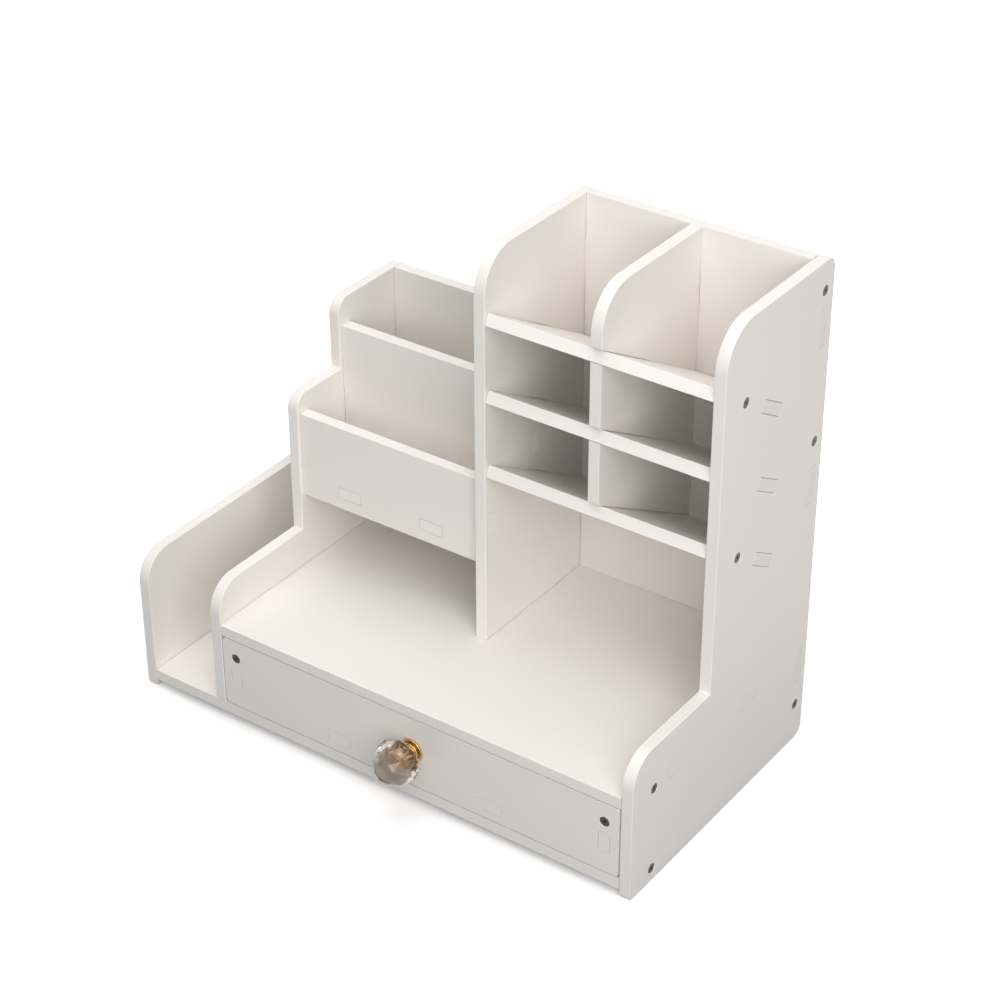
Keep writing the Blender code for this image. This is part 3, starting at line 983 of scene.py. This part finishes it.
def board_finishes(settings, through):
    """The three materials of a board, made once for each direction of its thickness."""
    turn = UP.rotation_difference(through).to_euler()
    key = tuple(round(abs(value), 2) for value in through)
    if key not in board_materials:
        label = str(len(board_materials) + 1)
        board_materials[key] = (
            skin_finish("board_skin_" + label, settings),
            cut_finish("board_cut_" + label, settings, turn, 0),
            cut_finish("board_eased_" + label, settings, turn, 1),
        )
    return board_materials[key]


def even_weights(bm, weights):
    """Give eased edges that run on into each other the wider easing, so that they meet cleanly."""
    queue = [edge for edge in bm.edges if edge[weights]]
    while queue:
        edge = queue.pop()
        for vertex in edge.verts:
            ahead = vertex.co - edge.other_vert(vertex).co
            for other in vertex.link_edges:
                onward = other.other_vert(vertex).co - vertex.co
                if 0 < other[weights] < edge[weights] and ahead.angle(onward) < SHARP_ANGLE:
                    other[weights] = edge[weights]
                    queue.append(other)


def eased_board(name, settings):
    """A board's finished mesh.

    Free edges are eased more than the edges that meet another piece. Faces are sorted into the
    smooth skin, the cut edges and the eased corners between them.
    """
    bm = merged_copy(name)
    through = max(bm.faces, key=lambda face: face.calc_area()).normal.copy()
    for face in bm.faces:
        face.material_index = SKIN if abs(face.normal.dot(through)) > SKIN_DOT else CUT
    others = other_pieces(name)
    weights = bm.edges.layers.float.new("bevel_weight_edge")
    for edge in bm.edges:
        if not edge.is_manifold or edge.calc_face_angle() < SHARP_ANGLE:
            continue
        if not edge.is_convex:
            edge.smooth = False
            continue
        middle = (edge.verts[0].co + edge.verts[1].co) / 2
        met = others.find_nearest(middle, settings.joint_reach)[0]
        edge[weights] = 1 if met is None else settings.joint_edge / settings.free_edge
    even_weights(bm, weights)
    mesh = mesh_of(bm, name + "_eased", *board_finishes(settings, through))
    easing = {
        "limit_method": "WEIGHT",
        "width": settings.free_edge,
        "segments": settings.edge_segments,
        "material": EASED,
        "use_clamp_overlap": False,
        "loop_slide": False,
    }
    mesh = applied(mesh, ("BEVEL", easing))
    set_board_normals(mesh)
    return mesh


def finish_boards(context, names):
    """Replace the named boards by finished ones."""
    settings = context.scene.organizer.boards
    for name in names:
        add_piece("board_" + name, name, eased_board(name, settings))


def turned_profile(profile, sides):
    """A shape turned about Z from (radius, height) points that start and end on the axis."""
    bm = bmesh.new()
    line = [bm.verts.new((radius, 0, height)) for radius, height in profile]
    edges = [bm.edges.new(pair) for pair in zip(line, line[1:])]
    axis = {"cent": (0, 0, 0), "axis": UP, "angle": 2 * math.pi}
    bmesh.ops.spin(bm, geom=line + edges, steps=sides, use_merge=True, **axis)
    bmesh.ops.remove_doubles(bm, verts=bm.verts, dist=MERGE)
    bmesh.ops.recalc_face_normals(bm, faces=bm.faces)
    return bm


def arc(centre, radius, start, end, steps):
    """Points of a profile along an arc, with angles in degrees."""
    points = []
    for step in range(steps + 1):
        angle = math.radians(start + (end - start) * step / steps)
        points.append((centre[0] + radius * math.cos(angle), centre[1] + radius * math.sin(angle)))
    return points


def thread(radius, start, end, settings):
    """A closed helical ridge round a shank along Z, sunk a little into it."""
    half = settings.pitch * settings.ridge_share / 2
    turns = (end - start - 2 * half) / settings.pitch
    steps = math.ceil(turns * settings.sides)
    root = radius - settings.thread
    section = [(root, -half), (radius + settings.thread, 0), (root, half)]
    bm = bmesh.new()
    face = bm.faces.new([bm.verts.new((r, 0, start + half + height)) for r, height in section])
    climb = (0, 0, settings.pitch / settings.sides)
    angle = 2 * math.pi * steps / settings.sides
    bmesh.ops.spin(bm, geom=[face], cent=(0, 0, 0), axis=UP, dvec=climb, angle=angle, steps=steps)
    bmesh.ops.recalc_face_normals(bm, faces=bm.faces)
    return bm


def recess(settings):
    """A cross that narrows towards its bottom, centred on z = 0."""
    bm = bmesh.new()
    for turn in (0, math.pi / 2):
        size = (settings.recess_length, settings.recess_width, 2 * settings.recess_depth, 1)
        made = bmesh.ops.create_cube(bm, size=1, matrix=Matrix.Diagonal(size))
        bottom = [vertex for vertex in made["verts"] if vertex.co.z > 0]
        bmesh.ops.scale(bm, verts=bottom, vec=(settings.recess_taper, settings.recess_taper, 1))
        bmesh.ops.rotate(bm, verts=made["verts"], matrix=Matrix.Rotation(turn, 3, "Z"))
    return bm


def driven_screw(profile, shank, start, settings):
    """A screw along +Z from its profile, with a cross recess in its head and a thread."""
    end = profile[-3][1] if profile[-2][0] < shank else profile[-2][1]
    tools = {
        "DIFFERENCE": mesh_of(recess(settings), "recess"),
        "UNION": mesh_of(thread(shank, start, end, settings), "thread"),
    }
    mesh = mesh_of(turned_profile(profile, settings.sides), "screw", screw_finish(settings))
    for operation, shape in tools.items():
        tool = bpy.data.objects.new(operation.lower(), shape)
        bpy.context.scene.collection.objects.link(tool)
        change = {"operation": operation, "solver": "EXACT", "use_self": True, "object": tool}
        mesh = applied(mesh, ("BOOLEAN", change))
        bpy.data.objects.remove(tool, do_unlink=True)
    bm = bmesh.new()
    bm.from_mesh(mesh)
    bmesh.ops.dissolve_degenerate(bm, dist=MERGE, edges=bm.edges)
    bm.to_mesh(mesh)
    bm.free()
    mesh.set_sharp_from_angle(angle=SHARP_ANGLE)
    return mesh


def screw_size(name):
    """A screw's whole length and its head's radius."""
    low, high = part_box(name)
    size = sorted(high - low)
    return size[2], size[1] / 2


def screw_axis(name):
    """Where a screw's head lies, and the direction from there to its tip."""
    low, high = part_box(name)
    middle = (low + high) / 2
    size = high - low
    index = max(range(3), key=lambda axis: size[axis])
    points = [vertex.co for vertex in frame["nodes"][name].data.vertices]
    ends = []
    for end in (low, high):
        centre = middle.copy()
        centre[index] = end[index]
        rim = [point for point in points if abs(point[index] - end[index]) < MERGE]
        ends.append((max((point - centre).length for point in rim), centre))
    ends.sort(key=lambda end: end[0])
    tip, head = ends[0][1], ends[1][1]
    return head, (tip - head).normalized()


def placed(mesh, head, direction, turn):
    """A copy of a mesh along +Z, stood at a head with its +Z in the given direction."""
    copy = mesh.copy()
    stand = direction.to_track_quat("Z", "Y").to_matrix().to_4x4()
    copy.transform(Matrix.Translation(head) @ stand @ Matrix.Rotation(turn, 4, "Z"))
    return copy


# Operators


class ORGANIZER_OT_side_panels(Operator):
    """Finish the upright side panels and the tower's divider"""

    bl_idname = "organizer.side_panels"
    bl_label = "Side panels"

    def execute(self, context):
        finish_boards(context, SIDE_PANELS)
        return {"FINISHED"}


class ORGANIZER_OT_lying_boards(Operator):
    """Finish the base board and the platform over the drawer"""

    bl_idname = "organizer.lying_boards"
    bl_label = "Base and platform"

    def execute(self, context):
        finish_boards(context, LYING_BOARDS)
        return {"FINISHED"}


class ORGANIZER_OT_marker_shelves(Operator):
    """Finish the three inclined marker shelves"""

    bl_idname = "organizer.marker_shelves"
    bl_label = "Marker shelves"

    def execute(self, context):
        finish_boards(context, MARKER_SHELVES)
        return {"FINISHED"}


class ORGANIZER_OT_back_boards(Operator):
    """Finish the boards behind the tower, the pen box and the book bay"""

    bl_idname = "organizer.back_boards"
    bl_label = "Back boards"

    def execute(self, context):
        finish_boards(context, BACK_BOARDS)
        return {"FINISHED"}


class ORGANIZER_OT_pen_box(Operator):
    """Finish the walls and the floor of the pen box"""

    bl_idname = "organizer.pen_box"
    bl_label = "Pen box"

    def execute(self, context):
        finish_boards(context, PEN_BOX)
        return {"FINISHED"}


class ORGANIZER_OT_drawer(Operator):
    """Finish the boards of the drawer"""

    bl_idname = "organizer.drawer"
    bl_label = "Drawer"

    def execute(self, context):
        finish_boards(context, DRAWER_BOARDS)
        return {"FINISHED"}


class ORGANIZER_OT_wood_screws(Operator):
    """Model the countersunk screws of the boards"""

    bl_idname = "organizer.wood_screws"
    bl_label = "Wood screws"

    def execute(self, context):
        settings = context.scene.organizer.screws
        length, head = screw_size(WOOD_SCREWS[0])
        rim = settings.rim
        profile = [(0, 0), *arc((head - rim, rim), rim, -90, 0, RIM_STEPS)]
        profile += [(settings.shank, settings.cone), (settings.shank, length - settings.tip)]
        profile += [(0, length)]
        mesh = driven_screw(profile, settings.shank, settings.cone, settings)
        for index, name in enumerate(WOOD_SCREWS):
            turn = index * GOLDEN_ANGLE
            add_piece("steel_" + name, name, placed(mesh, *screw_axis(name), turn))
        bpy.data.meshes.remove(mesh)
        return {"FINISHED"}


class ORGANIZER_OT_knob_screw(Operator):
    """Model the pan-headed screw that holds the knob from inside the drawer"""

    bl_idname = "organizer.knob_screw"
    bl_label = "Knob screw"

    def execute(self, context):
        settings = context.scene.organizer.screws
        length, head = screw_size("knob_screw")
        height = settings.pan_height
        crown = settings.pan_round
        shank = settings.pan_shank
        profile = [(0, 0), *arc((head - crown, crown), crown, -90, 0, CROWN_STEPS)]
        profile += [(head, height), (shank, height), (shank, length - settings.rim)]
        profile += [(shank - settings.rim, length), (0, length)]
        mesh = driven_screw(profile, shank, height, settings)
        piece = placed(mesh, *screw_axis("knob_screw"), 0)
        add_piece("steel_knob_screw", "knob_screw", piece)
        bpy.data.meshes.remove(mesh)
        return {"FINISHED"}


class ORGANIZER_OT_knob_base(Operator):
    """Turn the knob's brass base, with the stud that is set in the crystal"""

    bl_idname = "organizer.knob_base"
    bl_label = "Knob base"

    def execute(self, context):
        settings = context.scene.organizer.knob
        low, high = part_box("knob_base")
        middle = (low + high) / 2
        seat = Vector((middle.x, high.y, middle.z))
        flange = (high.z - low.z) / 2
        length = high.y - low.y
        edge = settings.flange / 2
        neck = flange * settings.neck_share
        cup = flange * settings.cup_share
        stud = flange * settings.stud_share
        bead = settings.bead
        hollow = length / 2 - settings.flange - bead
        end = length + settings.stud
        profile = [(0, settings.bore_depth), (settings.bore, settings.bore_depth)]
        profile += [(settings.bore, 0)]
        profile += arc((flange - edge, edge), edge, -80, 70, FLANGE_STEPS)
        profile += arc((neck + hollow, settings.flange + hollow), hollow, 265, 180, BEAD_STEPS)
        profile += arc((neck, length / 2 + bead), bead, -80, 80, BEAD_STEPS)
        profile += arc((cup - bead, length - bead), bead, -60, 80, BEAD_STEPS)
        profile += arc((stud - bead, end - bead), bead, 0, 90, RIM_STEPS)
        profile += [(0, end)]
        turned = turned_profile(profile, settings.sides)
        mesh = mesh_of(turned, "knob_base", brass_finish(settings, seat))
        mesh.set_sharp_from_angle(angle=SHARP_ANGLE)
        base = placed(mesh, seat, Vector((0, -1, 0)), 0)
        add_piece("turned_knob_base", "knob_base", base)
        bpy.data.meshes.remove(mesh)
        return {"FINISHED"}


class ORGANIZER_OT_knob_crystal(Operator):
    """Cut the knob's crystal head, with polished edges between its facets"""

    bl_idname = "organizer.knob_crystal"
    bl_label = "Knob crystal"

    def execute(self, context):
        settings = context.scene.organizer.knob
        mesh = mesh_of(merged_copy("knob_crystal"), "cut_crystal", crystal_finish(settings))
        polish = {
            "limit_method": "ANGLE",
            "angle_limit": FACET_ANGLE,
            "width": settings.facet_edge,
            "segments": 2,
            "use_clamp_overlap": False,
        }
        mesh = applied(mesh, ("BEVEL", polish), ("WEIGHTED_NORMAL", {}))
        add_piece("cut_knob_crystal", "knob_crystal", mesh)
        return {"FINISHED"}


def area_light(name, place, target, size, level):
    """A square lamp that lights a face turned to it at the target to a share of the plain level."""
    data = bpy.data.lights.new(name, "AREA")
    data.shape = "SQUARE"
    data.size = size
    away = Vector(place) - Vector(target)
    data.energy = level * math.pi ** 2 * away.length_squared
    lamp = bpy.data.objects.new(name, data)
    bpy.context.scene.collection.objects.link(lamp)
    lamp.location = place
    lamp.rotation_mode = "QUATERNION"
    lamp.rotation_quaternion = away.to_track_quat("Z", "Y")


class ORGANIZER_OT_stage(Operator):
    """Set up the camera, the lamps, the white surroundings and the floor"""

    bl_idname = "organizer.stage"
    bl_label = "Stage"

    def execute(self, context):
        settings = context.scene.organizer.stage
        scene = context.scene
        scene.view_settings.view_transform = "Standard"
        camera = bpy.data.objects.new("camera", bpy.data.cameras.new("camera"))
        scene.collection.objects.link(camera)
        camera.data.lens = settings.lens
        camera.data.clip_start = CLIP_START
        camera.data.clip_end = CLIP_END
        turn = Matrix.Rotation(settings.azimuth, 4, "Z")
        tilt = Matrix.Rotation(math.pi / 2 - settings.elevation, 4, "X")
        roll = Matrix.Rotation(settings.roll, 4, "Z")
        camera.matrix_world = Matrix.Translation(settings.eye) @ turn @ tilt @ roll
        scene.camera = camera
        self.add_floor(scene, settings)
        self.light_sky(scene, settings)
        target = (cad_box[0] + cad_box[1]) / 2
        for name in ("top", "front", "back"):
            place, size, level = (
                getattr(settings, name + value) for value in ("_place", "_size", "_level")
            )
            area_light(name + "_lamp", place, target, size, level)
        return {"FINISHED"}

    def seen(self, make):
        """1 for the rays by which the surroundings are seen, directly or in gloss and glass."""
        path = make.node("ShaderNodeLightPath").socket.node.outputs
        total = Value(make, path["Is Camera Ray"]) + Value(make, path["Is Glossy Ray"])
        return total + Value(make, path["Is Transmission Ray"])

    def light_sky(self, scene, settings):
        """Even light from all round, which is seen as plain white."""
        world = bpy.data.worlds.new("sky")
        scene.world = world
        world.use_nodes = True
        make = Finish(world.node_tree)
        seen = self.seen(make)
        level = seen * (1 - settings.sky_level) + settings.sky_level
        sky = make.node("ShaderNodeBackground", None, {"Color": (1, 1, 1, 1), "Strength": level})
        make.node("ShaderNodeOutputWorld", None, {"Surface": sky})

    def add_floor(self, scene, settings):
        """A pale floor just under the feet: seen as white, with the object's shadow on it."""
        bm = bmesh.new()
        bmesh.ops.create_grid(bm, x_segments=1, y_segments=1, size=settings.floor_size / 2)
        bmesh.ops.translate(bm, verts=bm.verts, vec=(0, 0, -FLOOR_DROP))
        mesh = bpy.data.meshes.new("floor")
        bm.to_mesh(mesh)
        bm.free()
        material, make = new_material("floor")
        seen = self.seen(make)
        lent = make.node("ShaderNodeBsdfDiffuse", None, {"Color": toned(settings.floor_colour, 1)})
        pale = (FLOOR_WHITE, FLOOR_WHITE, FLOOR_WHITE, 1)
        white = make.node("ShaderNodeBsdfDiffuse", None, {"Color": pale})
        place = make.node("ShaderNodeTexCoord", output="Object")
        away = make.node("ShaderNodeVectorMath", {"operation": "LENGTH"}, {0: place}, output=1)
        reach = settings.shadow_reach
        level = make.step(away, reach, SHADOW_FADE * reach) + settings.floor_glow
        glow = make.node("ShaderNodeEmission", None, {"Color": (1, 1, 1, 1), "Strength": level})
        shown = make.node("ShaderNodeAddShader", None, {0: white, 1: glow})
        both = make.node("ShaderNodeMixShader", None, {0: seen, 1: lent, 2: shown})
        make.node("ShaderNodeOutputMaterial", None, {"Surface": both})
        mesh.materials.append(material)
        floor = bpy.data.objects.new("floor", mesh)
        scene.collection.objects.link(floor)


OPERATORS = (
    ORGANIZER_OT_side_panels,
    ORGANIZER_OT_lying_boards,
    ORGANIZER_OT_marker_shelves,
    ORGANIZER_OT_back_boards,
    ORGANIZER_OT_pen_box,
    ORGANIZER_OT_drawer,
    ORGANIZER_OT_wood_screws,
    ORGANIZER_OT_knob_screw,
    ORGANIZER_OT_knob_base,
    ORGANIZER_OT_knob_crystal,
    ORGANIZER_OT_stage,
)


class ORGANIZER_PT_sidebar(Panel):
    """The organizer's operators and settings"""

    bl_idname = "ORGANIZER_PT_sidebar"
    bl_label = "Desk organizer"
    bl_space_type = "VIEW_3D"
    bl_region_type = "UI"
    bl_category = "Organizer"

    def draw(self, context):
        for operator in OPERATORS:
            self.layout.operator(operator.bl_idname)
        organizer = context.scene.organizer
        for group in (organizer.boards, organizer.screws, organizer.knob, organizer.stage):
            box = self.layout.box()
            for name in group.__annotations__:
                box.prop(group, name)


CLASSES = (
    BoardSettings,
    ScrewSettings,
    KnobSettings,
    StageSettings,
    OrganizerSettings,
    *OPERATORS,
    ORGANIZER_PT_sidebar,
)


def register():
    """Register the settings, the operators and the panel."""
    for item in CLASSES:
        bpy.utils.register_class(item)
    bpy.types.Scene.organizer = PointerProperty(type=OrganizerSettings)


def unregister():
    """Take everything out again."""
    del bpy.types.Scene.organizer
    for item in reversed(CLASSES):
        bpy.utils.unregister_class(item)


def main():
    """Run the operators in order."""
    register()
    bpy.ops.organizer.side_panels()
    bpy.ops.organizer.lying_boards()
    bpy.ops.organizer.marker_shelves()
    bpy.ops.organizer.back_boards()
    bpy.ops.organizer.pen_box()
    bpy.ops.organizer.drawer()
    bpy.ops.organizer.wood_screws()
    bpy.ops.organizer.knob_screw()
    bpy.ops.organizer.knob_base()
    bpy.ops.organizer.knob_crystal()
    bpy.ops.organizer.stage()
    bpy.context.view_layer.update()


if __name__ == "__main__":
    main()
